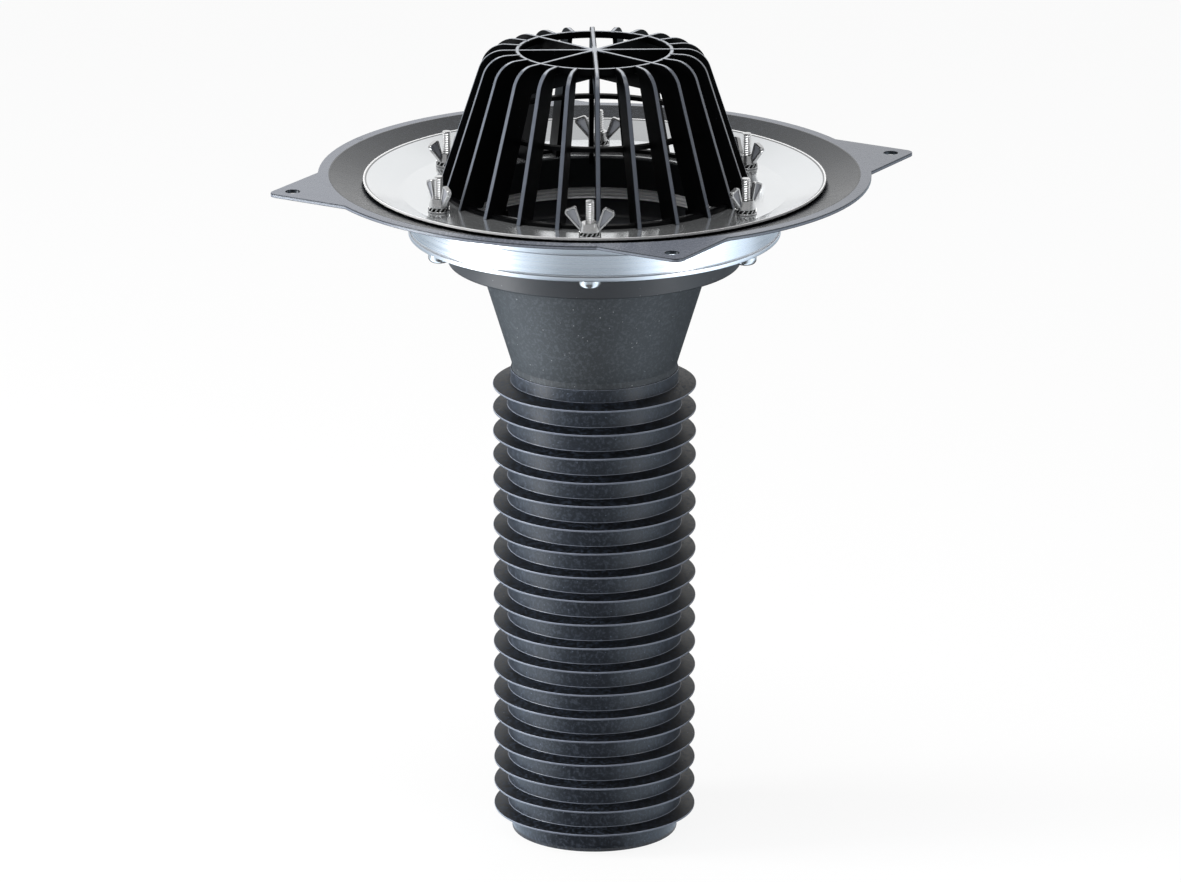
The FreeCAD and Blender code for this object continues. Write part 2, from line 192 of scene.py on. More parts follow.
class FunnelSettings(bpy.types.PropertyGroup):
    """Sizes and colour of the funnel."""

    spigot_radius: length("Spigot radius", "Outer radius inside the hose", 42.6)
    spigot_bore: length("Spigot bore", "Inner radius inside the hose", 39.6)
    spigot_length: length("Spigot length", "How far the spigot reaches into the hose", 35.0)
    neck_radius: length("Neck radius", "Outer radius where the funnel sits on the hose", 45.3)
    neck_height: length("Neck height", "Height of the neck", 3.4)
    cone_height: length("Cone height", "Height of the cone", 57.2)
    cone_radius: length("Cone radius", "Outer radius at the cone's top", 62.9)
    cone_wall: length("Cone wall", "Wall at the cone's top", 3.2)
    head_radius: length("Head radius", "Outer radius of the head", 79.9)
    head_bore: length("Head bore", "Inner radius of the head", 76.9)
    head_floor: length("Head floor", "Thickness of the head's floor", 3.0)
    edge_round: length("Edge round", "Radius of the outer edges", 0.9)
    segments: count("Segments", "Divisions round the funnel", 192)
    head_start: length("Head start", "Height of the head over the spigot's end", 95.6)
    tint: colour("Colour", "Colour of the cone", (0.026, 0.0305, 0.035))
    head_tint: colour("Head colour", "Colour of the head", (0.030, 0.032, 0.036))


class MetalSettings(bpy.types.PropertyGroup):
    """Edges and colours of the plate, the ring and the fasteners."""

    sheet_edge: length("Sheet edge", "Radius of the plate's edges", 0.3)
    ring_edge: length("Ring edge", "Radius of the ring's edges", 0.25)
    # Inside this radius the ring's bore is painted white as a highlight.
    ring_bore: length("Ring bore", "Radius of the bright bore", 74.4)
    nut_edge: length("Nut edge", "Radius of the wing nuts' edges", 0.22)
    washer_edge: length("Washer edge", "Radius of the washers' edges", 0.12)
    thread_pitch: length("Thread pitch", "Pitch of the screws' threads", 1.3)
    thread_depth: length("Thread depth", "Depth of the screws' threads", 0.49)
    shank_radius: length("Shank radius", "Radius of a screw over its thread", 2.5)
    head_radius: length("Head radius", "Radius of a screw's head", 6.0)
    head_height: length("Head height", "Height of a screw's head", 4.6)
    head_round: length("Head round", "Radius of the head's edge", 2.8)
    recess_width: length("Recess width", "Width of the cross recess", 1.2)
    recess_length: length("Recess length", "Length of the cross recess", 5.2)
    recess_depth: length("Recess depth", "Depth of the cross recess", 2.0)
    plate_tint: colour("Plate", "Colour of the polished plate", (0.80, 0.82, 0.835))
    ring_tint: colour("Ring", "Colour of the aluminium ring", (0.86, 0.88, 0.91))
    fastener_tint: colour("Fasteners", "Colour of the fasteners' steel", (0.74, 0.745, 0.75))
    hollow_tint: colour("Hollows", "Colour of the wings' dull hollows", (0.27, 0.28, 0.31))
    hollow_level: length("Hollow level", "Half a wing's thickness inside its border", 0.85)
    hollow_start: length("Hollow start", "Distance from the nut's axis to the hollows", 4.6)


class CollarSettings(bpy.types.PropertyGroup):
    """Edges and colour of the rubber collar."""

    edge_round: length("Edge round", "Radius of the moulded edges", 0.6)
    rim_start: length("Rim start", "Radius where the dish meets the flat rim", 143.5)
    # Inside this radius the collar is painted nearly black as shade.
    painted_shade_radius: length("Inside radius", "Radius of the dark wet inside", 80.0)
    # The pale line on the rim's outer edge is a painted highlight.
    edge_line: length("Edge line", "Depth of the pale line on the rim's edge", 1.2)
    tint: colour("Colour", "Colour of the collar's rubber", (0.006, 0.0068, 0.0086))
    # The flat rim and the ears are the same rubber as the dish, painted lighter as sheen.
    rim_highlight_tint: colour("Rim colour", "Colour of the flat rim and the ears", (0.140, 0.152, 0.182))
    hole_turn: angle("Hole turn", "Angle of the first ear's hole from the front", 15.5)
    hole_circle: length("Hole circle", "Distance of the ears' holes from the axis", 167.0)
    hole_reach: length("Hole reach", "Radius that takes in a hole's walls", 4.3)
    mark_east: length("Mark east", "Place of the moulded mark along X", -131.8)
    mark_north: length("Mark north", "Place of the moulded mark along Y", 67.3)
    mark_radius: length("Mark radius", "Radius of the moulded mark", 1.9)


class StudioSettings(bpy.types.PropertyGroup):
    """Camera, floor and light."""

    picture_width: count("Picture width", "Width of the picture in pixels", 1181)
    focal_pixels: count("Focal length", "Focal length in pixels of the picture", 7600)
    distance: length("Distance", "From the camera to its aim", 4163.0)
    aim_height: length("Aim height", "Height of the camera's aim", 222.7)
    aim_left: length("Aim left", "How far left of the axis the aim is", 2.2)
    azimuth: angle("Azimuth", "Angle of the camera from the front", 1.5)
    pitch: angle("Pitch", "How far the camera looks down", 17.07)
    floor_size: length("Floor size", "Half the width of the floor", 60000.0)
    ambient: share("Ambient", "Light from all round", 0.40)
    front_gloss: share("Front gloss", "Light from the front in reflections", 0.34)


def settings(kind):
    """The scene's settings of one kind, such as dome or hose."""
    return getattr(bpy.context.scene, "roof_drain_" + kind)


class Value:
    """A shader socket that can be used in a Python expression."""

    def __init__(self, nodes, socket):
        self.nodes = nodes
        self.socket = socket

    def math(self, operation, *others):
        """A Math node whose first input is this value."""
        inputs = {0: self, **dict(enumerate(others, 1))}
        return self.nodes.node("ShaderNodeMath", {"operation": operation}, inputs)

    def reflected(self, operation, other):
        """A Math node whose second input is this value."""
        return self.nodes.node("ShaderNodeMath", {"operation": operation}, {0: other, 1: self})

    def __add__(self, other):
        return self.math("ADD", other)

    def __sub__(self, other):
        return self.math("SUBTRACT", other)

    def __mul__(self, other):
        return self.math("MULTIPLY", other)

    def __truediv__(self, other):
        return self.math("DIVIDE", other)

    def __pow__(self, other):
        return self.math("POWER", other)

    def __radd__(self, other):
        return self + other

    def __rmul__(self, other):
        return self * other

    def __rsub__(self, other):
        return self.reflected("SUBTRACT", other)

    def __rtruediv__(self, other):
        return self.reflected("DIVIDE", other)

    def __rpow__(self, other):
        return self.reflected("POWER", other)

    def __abs__(self):
        return self.math("ABSOLUTE")

    def at_least(self, floor):
        """This value, or a floor under it."""
        return self.math("MAXIMUM", floor)

    def at_most(self, ceiling):
        """This value, or a ceiling over it."""
        return self.math("MINIMUM", ceiling)

    def clamped(self):
        """This value, kept between 0 and 1."""
        return self.nodes.node("ShaderNodeClamp", {}, {"Value": self})

    def above(self, edge, softness):
        """0 where this value is below an edge and 1 above it, with a soft step between."""
        return self.nodes.node(
            "ShaderNodeMapRange",
            {"interpolation_type": "SMOOTHSTEP"},
            {"Value": self, "From Min": edge - softness, "From Max": edge + softness},
        )

    def near(self, centre, reach):
        """1 within a reach of a centre, 0 outside it, with soft ends."""
        return 1.0 - abs(self - centre).above(reach, 0.3 * reach)


def distance(along, across):
    """Length of a line from its reach in two square directions."""
    return (along ** 2 + across ** 2) ** 0.5


class Nodes:
    """A node tree that is filled by expressions."""

    def __init__(self, tree):
        self.tree = tree

    def node(self, kind, choices, inputs, output=0):
        """Adds a node, makes its choices, fills its inputs and gives one of its outputs."""
        made = self.tree.nodes.new(kind)
        for name, choice in choices.items():
            setattr(made, name, choice)
        for name, value in inputs.items():
            self.connect(made.inputs[name], value)
        return Value(self, made.outputs[output])

    def connect(self, socket, value):
        """Links a value to a socket, or sets the socket to a plain number or colour."""
        if isinstance(value, Value):
            self.tree.links.new(value.socket, socket)
        elif socket.type == "RGBA":
            socket.default_value = (*tuple(value)[:3], 1.0)
        else:
            socket.default_value = value

    def ray(self, kind):
        """1 for the rays of one kind, such as Is Camera Ray, 0 for others."""
        return self.node("ShaderNodeLightPath", {}, {}, kind)

    def place(self):
        """The point being shaded, in the drain's own frame, in metres."""
        return self.node("ShaderNodeTexCoord", {}, {}, "Object")

    def axis(self, name, output="Object"):
        """One coordinate of the point being shaded, of its normal or of the world's direction."""
        spot = self.node("ShaderNodeTexCoord", {}, {}, output)
        return self.node("ShaderNodeSeparateXYZ", {}, {0: spot}, name)


class Shader(Nodes):
    """A material's node tree with a Principled shader."""

    def __init__(self, name):
        self.material = bpy.data.materials.new(name)
        self.material.use_nodes = True
        super().__init__(self.material.node_tree)
        self.principled = self.tree.nodes["Principled BSDF"]
        self.output = self.tree.nodes["Material Output"]

    def set(self, **values):
        """Sets the Principled shader's sockets; an underscore in a name stands for a space."""
        for name, value in values.items():
            self.connect(self.principled.inputs[name.replace("_", " ")], value)

    def radius(self):
        """Distance from the drain's axis."""
        return distance(self.axis("X"), self.axis("Y"))

    def bearing(self):
        """Angle round the drain's axis."""
        return self.axis("Y").math("ARCTAN2", self.axis("X"))

    def aside(self, first, repeats):
        """Distance round the axis to the nearest repeat, the first turned from the front."""
        sector = 2 * math.pi / repeats
        turns = (self.bearing() - (first - math.pi / 2)) / sector
        return abs((turns + 0.5).math("FRACT") - 0.5) * sector * self.radius()

    def upper_edges(self):
        """1 on rounded edges that look outwards and up, 0 on level and upright faces."""
        up = self.axis("Z", "Normal")
        return up.above(0.25, 0.12) * (1.0 - up.above(0.86, 0.06))

    def open_air(self, reach):
        """1 where a surface stands free, falling to 0 in corners, threads and gaps."""
        inputs = {"Distance": reach}
        contact = self.node("ShaderNodeAmbientOcclusion", {"samples": 8}, inputs, "AO")
        return contact.above(0.5, 0.28)

    def stretched(self, stretch):
        """The point being shaded, with its coordinates scaled."""
        inputs = {"Vector": self.place(), "Scale": Vector(stretch)}
        return self.node("ShaderNodeMapping", {}, inputs)

    def lines(self, place, density):
        """Fine uneven lines across one coordinate, from 0 to 1."""
        inputs = {"W": place, "Scale": density}
        return self.node("ShaderNodeTexNoise", {"noise_dimensions": "1D"}, inputs)

    def noise(self, size, detail=3.0, stretch=EVEN, roughness=0.5):
        """Soft noise from 0 to 1 whose features are about one size across."""
        inputs = {"Vector": self.stretched(stretch), "Scale": 1.0 / size}
        inputs.update({"Detail": detail, "Roughness": roughness})
        return self.node("ShaderNodeTexNoise", {}, inputs)

    def grit(self, size, amount):
        """1 on an amount of fine uneven grains, 0 between them."""
        return self.noise(size, roughness=0.75).above(0.72 - 0.4 * amount, 0.07)

    def specks(self, spacing, size, stretch=EVEN):
        """1 inside small scattered spots, 0 elsewhere; about one cell in five has a spot."""
        cells = {"Vector": self.stretched(stretch), "Scale": 1.0 / spacing}
        cell = self.node("ShaderNodeTexVoronoi", {}, cells, "Distance")
        pick = self.node("ShaderNodeTexVoronoi", {}, cells, "Color")
        chosen = self.node("ShaderNodeSeparateColor", {}, {0: pick}, 0).above(0.8, 0.01)
        return (1.0 - cell.above(size / spacing, 0.3 * size / spacing)) * chosen

    def blend(self, mask, low, high):
        """A colour between two, by a mask."""
        inputs = {"Factor": mask, 6: low, 7: high}
        return self.node("ShaderNodeMix", {"data_type": "RGBA"}, inputs, 2)

    def layers(self, under, *coats):
        """A colour under coats that are given by their masks and colours."""
        for mask, coat in coats:
            under = self.blend(mask, under, coat)
        return under

    def bump(self, height, strength, depth, normal=None):
        """A bumped normal from a height."""
        inputs = {"Height": height, "Strength": strength, "Distance": depth}
        if normal is not None:
            inputs["Normal"] = normal
        return self.node("ShaderNodeBump", {}, inputs)


def scaled(tint, factor):
    """A colour made lighter or darker."""
    return tuple(min(1.0, channel * factor) for channel in tint)


def dome_material():
    """Black moulded plastic, matte on the flanks, with a glossy coat and a painted highlight along
    the outer edges.
    """
    dome = settings("dome")
    plate_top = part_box("washer_1")[0].z
    dome_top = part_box("dome_strainer")[1].z
    shader = Shader("dome_plastic")
    flow = shader.noise(6 * MM, 4.0)
    grain = shader.noise(0.5 * MM, 2.0)
    dust = shader.specks(3.5 * MM, 0.22 * MM)
    slope = dome.lean / (dome_top - plate_top)
    height = shader.axis("Z")
    radius = shader.radius()
    from_side = dome.base_radius - slope * (height - plate_top) - radius
    to_side = (dome.shoulder_round - from_side).at_least(0.0)
    to_top = (height - (dome_top - dome.shoulder_round)).at_least(0.0)
    under_edge = dome.shoulder_round - distance(to_side, to_top)
    # The outer band of each blade, where the painted highlight goes.
    outer = 1.0 - under_edge.above(dome.highlight_depth, 0.1 * MM)
    from_middle = shader.aside(dome.turn, dome.blades)
    flat_top = shader.axis("Z", "Normal").above(0.9, 0.06)
    softness = 0.2 * MM
    highlight_stripe = 1.0 - (from_middle + flat_top * dome.top_narrowing).above(dome.highlight_stripe, softness)
    ring_middle = dome.top_ring_radius - dome.top_ring_width / 2
    ring_reach = dome.highlight_stripe - dome.top_narrowing
    ring_highlight_stripe = flat_top * (1.0 - abs(radius - ring_middle).above(ring_reach, softness))
    outer = outer * highlight_stripe.at_least(ring_highlight_stripe)
    # Painted highlight colours: one on the blades' outer faces, one on the level top.
    painted_highlight = shader.blend(flat_top, dome.edge_highlight_tint, dome.top_highlight_tint)
    # Pale mask: dust specks, and the painted highlight along the outer edges.
    pale = (dust * 0.3 + outer * (0.6 + flow * 0.4)).clamped()
    shader.set(
        Base_Color=shader.blend(pale, dome.tint, painted_highlight),
        Roughness=0.40 - outer * 0.08 + flow * 0.08,
        Coat_Weight=outer * 0.8,
        Normal=shader.bump(grain, 0.10, 0.05 * MM, shader.bump(flow, 0.12, 0.25 * MM)),
        Specular_IOR_Level=0.06,
        Coat_Roughness=0.34,
    )
    return shader.material


def plate_material():
    """Polished stainless sheet with faint turning marks, wiped haze, a painted shade line just
    inside the edge and the edge painted white as a highlight.
    """
    tint = settings("metal").plate_tint
    shader = Shader("plate_steel")
    rings = shader.lines(shader.radius(), 2200.0)
    haze = shader.noise(35 * MM)
    fine = shader.noise(1.1 * MM, 2.0, (1.0, 1.0, 0.2))
    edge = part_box("clamping_plate")[1].x
    # Painted highlight: the outer edge is painted white, less metallic and rougher.
    painted_edge_highlight = shader.radius().above(edge - 0.8 * MM, 0.15 * MM)
    # Painted shade: a dark line just inside the edge.
    groove_shade = shader.radius().near(edge - 1.4 * MM, 0.4 * MM)
    shader.set(
        Base_Color=shader.layers(
            tint,
            (haze * 0.35, scaled(tint, 0.9)),
            (groove_shade * 0.85, scaled(tint, 0.1)),
            (painted_edge_highlight, WHITE),
        ),
        Metallic=0.90 - painted_edge_highlight * 0.5,
        Roughness=0.13 + haze * 0.06 + rings * 0.03 + painted_edge_highlight * 0.2,
        Normal=shader.bump(fine, 0.20, 0.05 * MM, shader.bump(rings, 0.04, 0.03 * MM)),
    )
    return shader.material


def moulded_mark(shader, collar):
    """1 on a small plain ring moulded into the dish, 0 elsewhere."""
    east, north = shader.axis("X") - collar.mark_east, shader.axis("Y") - collar.mark_north
    return distance(east, north).near(collar.mark_radius, 0.45 * MM)


def hole_walls(shader, collar):
    """1 in and close round the ears' holes, 0 elsewhere."""
    from_hole = distance(shader.aside(collar.hole_turn, EARS), shader.radius() - collar.hole_circle)
    return 1.0 - from_hole.above(collar.hole_reach, 0.1 * MM)


def collar_material():
    """Satin moulded rubber: a flat rim and ears painted pale as sheen, a painted highlight line and
    painted shade on the rim's edge, painted shade in the crease and inside, a dark streaked dish,
    dust.
    """
    collar = settings("collar")
    tint, rim_highlight_tint = collar.tint, collar.rim_highlight_tint
    shader = Shader("collar_rubber")
    cloud = shader.noise(28 * MM)
    grain = shader.noise(0.9 * MM)
    grit = shader.grit(1.9 * MM, 0.42)
    dust = shader.specks(3.2 * MM, 0.3 * MM)
    radius = shader.radius()
    inputs = {"X": shader.bearing() * 0.3, "Y": radius * 0.3}
    polar = shader.node("ShaderNodeCombineXYZ", {}, inputs)
    inputs = {"Vector": polar, "Scale": 260.0, "Detail": 4.0, "Roughness": 0.7}
    streaks = shader.node("ShaderNodeTexNoise", {}, inputs)
    # The flat rim and the ears, painted lighter than the dish as sheen.
    rim = radius.above(collar.rim_start, 0.4 * MM)
    # Painted shade in the crease where the dish meets the rim.
    crease_shade = radius.near(collar.rim_start, 0.7 * MM)
    # Painted shade: the inside, seen through the plate's hole, is painted nearly black and made
    # rougher.
    inside = 1.0 - radius.above(collar.painted_shade_radius, 1 * MM)
    # The rim's outer faces: painted shade with a painted highlight line along them.
    side = rim * (1.0 - shader.axis("Z", "Normal").above(0.9, 0.05))
    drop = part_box("collar")[1].z - shader.axis("Z")
    line = drop.near(collar.edge_line, 0.5 * MM)
    uneven = cloud * 0.3 + streaks * 0.4 + grain * 0.3
    mark = moulded_mark(shader, collar)
    raised = shader.bump(mark, 1.0, 0.5 * MM)
    shader.set(
        Base_Color=shader.layers(
            shader.blend(uneven, scaled(tint, 0.3), scaled(tint, 1.7)),
            (grit * 0.6, scaled(tint, 4.0)),
            (inside, scaled(tint, 0.05)),
            (mark, scaled(tint, 0.05)),
            (rim, shader.blend(grain, scaled(rim_highlight_tint, 0.8), scaled(rim_highlight_tint, 1.2))),
            (crease_shade * 0.9, scaled(tint, 0.1)),
            (side, shader.blend(line, scaled(rim_highlight_tint, 0.15), scaled(rim_highlight_tint, 0.9))),
            (side * hole_walls(shader, collar), scaled(tint, 0.8)),
            (dust * 0.6 * (1.0 - inside), scaled(tint, 7.0)),
        ),
        Roughness=0.20 + cloud * 0.05 + streaks * 0.07 + grit * 0.04 + inside * 0.4,
        Normal=shader.bump(grain, 0.14, 0.08 * MM, shader.bump(streaks, 0.10, 0.2 * MM, raised)),
        Specular_IOR_Level=0.45,
        Specular_Tint=(0.86, 0.93, 1.0),
    )
    return shader.material


def ring_material():
    """Turned aluminium with fine tool marks that run round it, and its bore painted white as a
    highlight on its lands.
    """
    metal = settings("metal")
    tint = metal.ring_tint
    shader = Shader("ring_aluminium")
    radius = shader.radius()
    path = shader.axis("Z") + radius
    marks = shader.lines(path, 3600.0)
    bands = shader.lines(path, 520.0)
    # Painted highlight: the bore is painted white and made mostly non-metallic.
    bore = 1.0 - radius.above(metal.ring_bore, 0.3 * MM)
    shader.set(
        Base_Color=shader.layers(scaled(tint, 0.9), (bands, tint), (bore, WHITE)),
        Metallic=1.0 - bore * 0.85,
        Roughness=0.22 + bands * 0.12 + bore * 0.15,
        Normal=shader.bump(marks, 0.2, 0.02 * MM),
    )
    return shader.material


def funnel_material():
    """Dark grey plastic, finely grained, with painted shade on the head's downward faces and many
    specks of pale dust on the cone.
    """
    funnel = settings("funnel")
    tint = funnel.tint
    shader = Shader("funnel_plastic")
    cloud = shader.noise(22 * MM)
    grain = shader.noise(0.7 * MM)
    head = shader.axis("Z").above(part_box("funnel")[0].z + funnel.head_start, 0.3 * MM)
    grit = shader.grit(1.8 * MM, 0.42)
    dust = shader.specks(2.4 * MM, 0.26 * MM)
    fluff = shader.specks(9 * MM, 0.5 * MM, (1.0, 1.0, 0.45))
    # 0 on faces that look down, where the head is painted dark as shade.
    lower = shader.axis("Z", "Normal").above(-0.25, 0.1)
    pale = ((dust * 0.7 + fluff * 0.9) * (1.0 - head * 0.6)).clamped()
    shader.set(
        Base_Color=shader.layers(
            shader.blend(cloud * 0.4 + grain * 0.6, scaled(tint, 0.6), scaled(tint, 1.4)),
            (grit * 0.6, scaled(tint, 2.2)),
            (head, funnel.head_tint),
            (head * (1.0 - lower), scaled(tint, 0.15)),
            (pale, (0.42, 0.44, 0.45)),
        ),
        Roughness=0.52 - head * 0.12 + cloud * 0.08,
        Normal=shader.bump(grain, 0.35, 0.10 * MM, shader.bump(cloud, 0.06, 0.5 * MM)),
    )
    return shader.material


def hose_material():
    """Blue-black satin rubber: painted highlight lines on the fins' rims, painted shade on the
    level upper faces, dust and streaks.
    """
    hose = settings("hose")
    tint = hose.tint
    shader = Shader("hose_rubber")
    cloud = shader.noise(16 * MM, stretch=(1.0, 1.0, 0.6))
    grain = shader.noise(0.9 * MM)
    streak = shader.noise(3.0 * MM, stretch=(1.0, 1.0, 0.12))
    grit = shader.grit(1.7 * MM, 0.42)
    dust = shader.specks(2.6 * MM, 0.32 * MM)
    out = shader.radius().above(hose.fin_radius - 0.9 * MM, 0.2 * MM)
    # Level upper faces of the fins, painted dark as shade.
    level = shader.axis("Z", "Normal").above(0.9, 0.05)
    # Painted highlight lines on the fins' rounded upper edges and rims.
    lines = (shader.upper_edges() + out * (1.0 - level) * 0.35).clamped()
    uneven = cloud * 0.3 + streak * 0.3 + grain * 0.4
    shader.set(
        Base_Color=shader.layers(
            shader.blend(uneven, scaled(tint, 0.5), scaled(tint, 1.5)),
            (level, scaled(tint, 0.12)),
            (grit * 0.7, scaled(tint, 3.2)),
            (lines, hose.rim_highlight_tint),
            (dust * 0.6, scaled(tint, 9.0)),
        ),
        Roughness=0.27 + level * 0.14 + cloud * 0.08 + streak * 0.06 + grit * 0.22,
        Normal=shader.bump(grain, 0.18, 0.1 * MM, shader.bump(streak, 0.12, 0.3 * MM)),
        Specular_IOR_Level=0.42,
    )
    return shader.material


def fastener_material(name="fastener_steel", centre=None, turn=0.0):
    """Bright steel, unevenly polished, with painted shade in its corners, threads and gaps; with a
    nut's place and turn, its wings' hollows are dull.
    """
    metal = settings("metal")
    tint = metal.fastener_tint
    shader = Shader(name)
    cloud = shader.noise(1.8 * MM)
    pits = shader.noise(0.35 * MM, 2.0)
    shade = shader.blend(cloud, scaled(tint, 0.86), tint)
    dull = 0.0
    if centre is not None:
        cosine, sine = math.cos(turn), math.sin(turn)
        east, north = shader.axis("X") - centre.x, shader.axis("Y") - centre.y
        along = abs(cosine * east + sine * north)
        across = abs(cosine * north - sine * east)
        facing = abs(cosine * shader.axis("Y", "Normal") - sine * shader.axis("X", "Normal"))
        hollow = 1.0 - across.above(metal.hollow_level, 0.08 * MM)
        dull = facing.above(0.8, 0.1) * hollow * along.above(metal.hollow_start, 0.2 * MM)
        shade = shader.layers(shade, (dull, metal.hollow_tint))
    shader.set(
        # Painted shade: corners, threads and gaps are painted nearly black.
        Base_Color=shader.blend(shader.open_air(3.2 * MM), scaled(tint, 0.03), shade),
        Metallic=0.90 - dull * 0.65,
        Roughness=0.09 + cloud * 0.10 + dull * 0.27,
        Normal=shader.bump(pits, 0.12, 0.04 * MM),
    )
    return shader.material


def rounded(corners, steps=4):
    """Points of an outline; a corner with a third value is rounded by that radius."""
    points = []
    for i, corner in enumerate(corners):
        here = Vector(corner[:2])
        radius = corner[2] if len(corner) > 2 else 0.0
        if not radius:
            points.append(here)
            continue
        to_before = (Vector(corners[i - 1][:2]) - here).normalized()
        to_after = (Vector(corners[(i + 1) % len(corners)][:2]) - here).normalized()
        half = to_before.angle(to_after) / 2
        centre = here + (to_before + to_after).normalized() * (radius / math.sin(half))
        start = here + to_before * (radius / math.tan(half)) - centre
        end = here + to_after * (radius / math.tan(half)) - centre
        sweep = math.atan2(start.cross(end), start.dot(end))
        for step in range(steps + 1):
            points.append(centre + Matrix.Rotation(sweep * step / steps, 2) @ start)
    return points


def add_object(name, data):
    """Puts new data in the scene as an object."""
    made = bpy.data.objects.new(name, data)
    bpy.context.scene.collection.objects.link(made)
    return made


def smooth(piece, keep_sharp):
    """Smooth shading, with flat faces kept flat beside rounded edges."""
    piece.data.polygons.foreach_set("use_smooth", [True] * len(piece.data.polygons))
    weighted = piece.modifiers.new("flat_faces", "WEIGHTED_NORMAL")
    weighted.keep_sharp = keep_sharp


def new_piece(name, mesh, material, body, node):
    """Puts a finished bmesh in the scene, where it rides on a body and replaces a CAD node."""
    data = bpy.data.meshes.new(name)
    bmesh.ops.recalc_face_normals(mesh, faces=mesh.faces)
    mesh.to_mesh(data)
    mesh.free()
    data.materials.append(material)
    piece = add_object(name, data)
    smooth(piece, True)
    data.set_sharp_from_angle(angle=SHARP_EDGE)
    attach(piece, body)
    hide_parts(node)


def add_part(mesh, part):
    """Adds a finished part to a mesh and frees it."""
    copy = bpy.data.meshes.new("part")
    part.to_mesh(copy)
    part.free()
    mesh.from_mesh(copy)
    bpy.data.meshes.remove(copy)


def turned(mesh, outline, segments, wave=None, closed=True):
    """Adds the shape made by turning a (radius, height) outline about the Z axis."""
    rings = []
    for r, z in outline:
        ring = []
        for step in range(segments):
            turn = 2 * math.pi * step / segments
            lift = wave(r, z, turn) if wave else 0.0
            ring.append(mesh.verts.new((r * math.cos(turn), r * math.sin(turn), z + lift)))
        rings.append(ring)
    pairs = list(zip(rings, rings[1:] + rings[:1]))
    for ring, following in pairs if closed else pairs[:-1]:
        for step in range(segments):
            side = (step + 1) % segments
            mesh.faces.new((ring[step], ring[side], following[side], following[step]))


def slab(mesh, outline, thickness, turn, edge_round):
    """Adds a flat (radius, height) outline with a thickness and rounded edges, turned about Z."""
    part = bmesh.new()
    sides = []
    for y in (-thickness / 2, thickness / 2):
        sides.append([part.verts.new((x, y, z)) for x, z in outline])
    near, far = sides
    part.faces.new(near)
    part.faces.new(list(reversed(far)))
    total = len(outline)
    for i in range(total):
        j = (i + 1) % total
        part.faces.new((near[j], near[i], far[i], far[j]))
    bmesh.ops.recalc_face_normals(part, faces=part.faces)
    if edge_round:
        long_edges = [e for e in part.edges if e.calc_face_angle(0.0) > math.radians(30)]
        bmesh.ops.bevel(
            part, geom=long_edges, offset=edge_round, segments=3, profile=0.5, affect="EDGES"
        )
    bmesh.ops.rotate(part, verts=part.verts, cent=(0, 0, 0), matrix=Matrix.Rotation(turn, 3, "Z"))
    add_part(mesh, part)


def finish_cad(node, material, edge_round, bend=None):
    """Gives a CAD node its material, rounds its sharp edges and smooths its faces up to a bend."""
    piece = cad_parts[node]
    piece.data.materials.clear()
    piece.data.materials.append(material)
    weld = piece.modifiers.new("joined_faces", "WELD")
    weld.merge_threshold = 0.002 * MM
    flat = piece.modifiers.new("whole_faces", "DECIMATE")
    flat.decimate_type = "DISSOLVE"
    flat.angle_limit = math.radians(0.4)
    edges = piece.modifiers.new("edge_round", "BEVEL")
    edges.width = edge_round
    edges.segments = 2
    edges.limit_method = "ANGLE"
    edges.angle_limit = SHARP_EDGE
    if bend:
        crisp = piece.modifiers.new("crisp_bends", "EDGE_SPLIT")
        crisp.split_angle = bend
        crisp.use_edge_sharp = False
    smooth(piece, False)


def blade_outline(dome, plate_top, dome_top, inner_radius, depth):
    """Outline of a blade; its top bar has a depth and runs in to a radius."""
    side_slope = dome.lean / (dome_top - plate_top)
    foot = dome.base_radius - dome.depth
    underside = dome_top - depth
    return rounded(
        [
            (inner_radius, dome_top),
            (dome.base_radius - dome.lean, dome_top, dome.shoulder_round),
            (dome.base_radius, plate_top),
            (foot, plate_top),
            (foot - side_slope * (underside - plate_top), underside, dome.web_round),
            (inner_radius, underside),
        ],
        12,
    )


